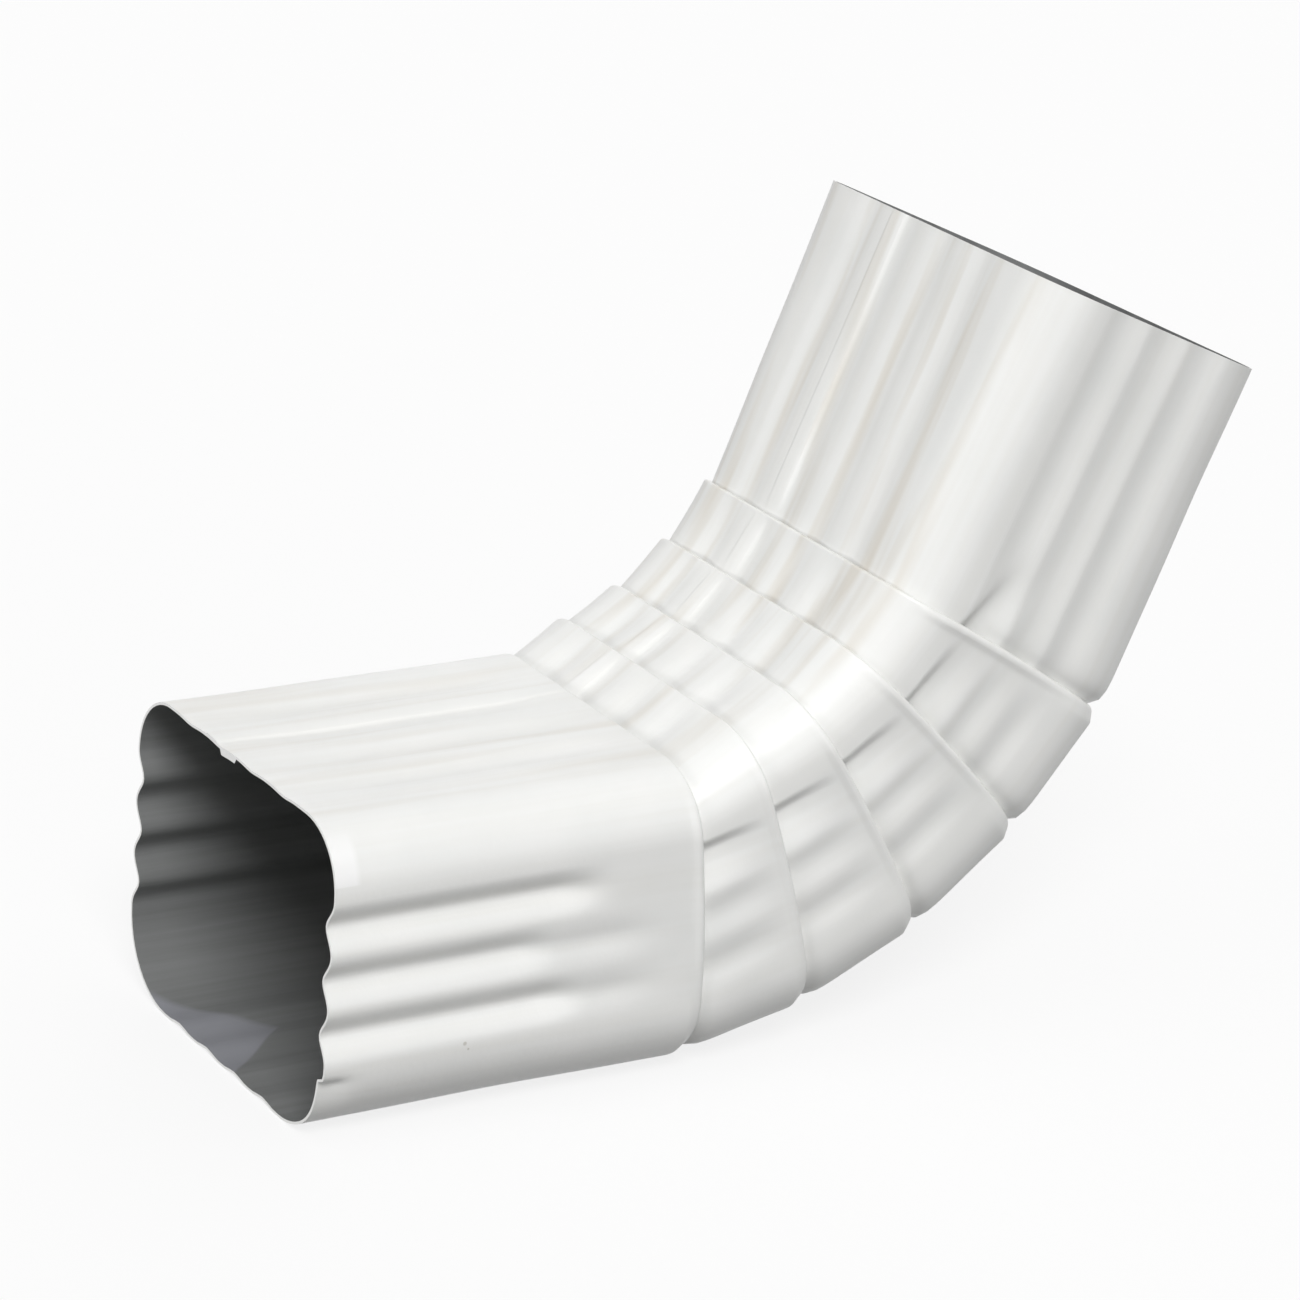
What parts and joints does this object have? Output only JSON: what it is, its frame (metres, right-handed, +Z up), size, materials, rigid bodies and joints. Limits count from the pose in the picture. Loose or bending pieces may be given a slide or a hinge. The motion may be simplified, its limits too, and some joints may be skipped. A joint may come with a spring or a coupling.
{
  "type": "downspout elbow",
  "caption": "Fluted rectangular sheet-aluminium downspout elbow, bent by crimped overlapping gores, that turns rainwater from a wall pipe out toward the ground.",
  "frame": {"origin": "centre of the inlet's cut end", "axes": "outlet arm lies along X with its mouth facing -X, Y across the wide faces, Z up; the inlet arm rises in the XZ plane at 68.1 degrees above the outlet arm"},
  "size_m": [0.195, 0.0816, 0.1482],
  "materials": {
    "painted_sheet": "gloss white coil paint outside, dark grey back coat inside"
  },
  "bodies": {
    "root": {"downspout_elbow": "painted_sheet"}
  },
  "joints": []
}
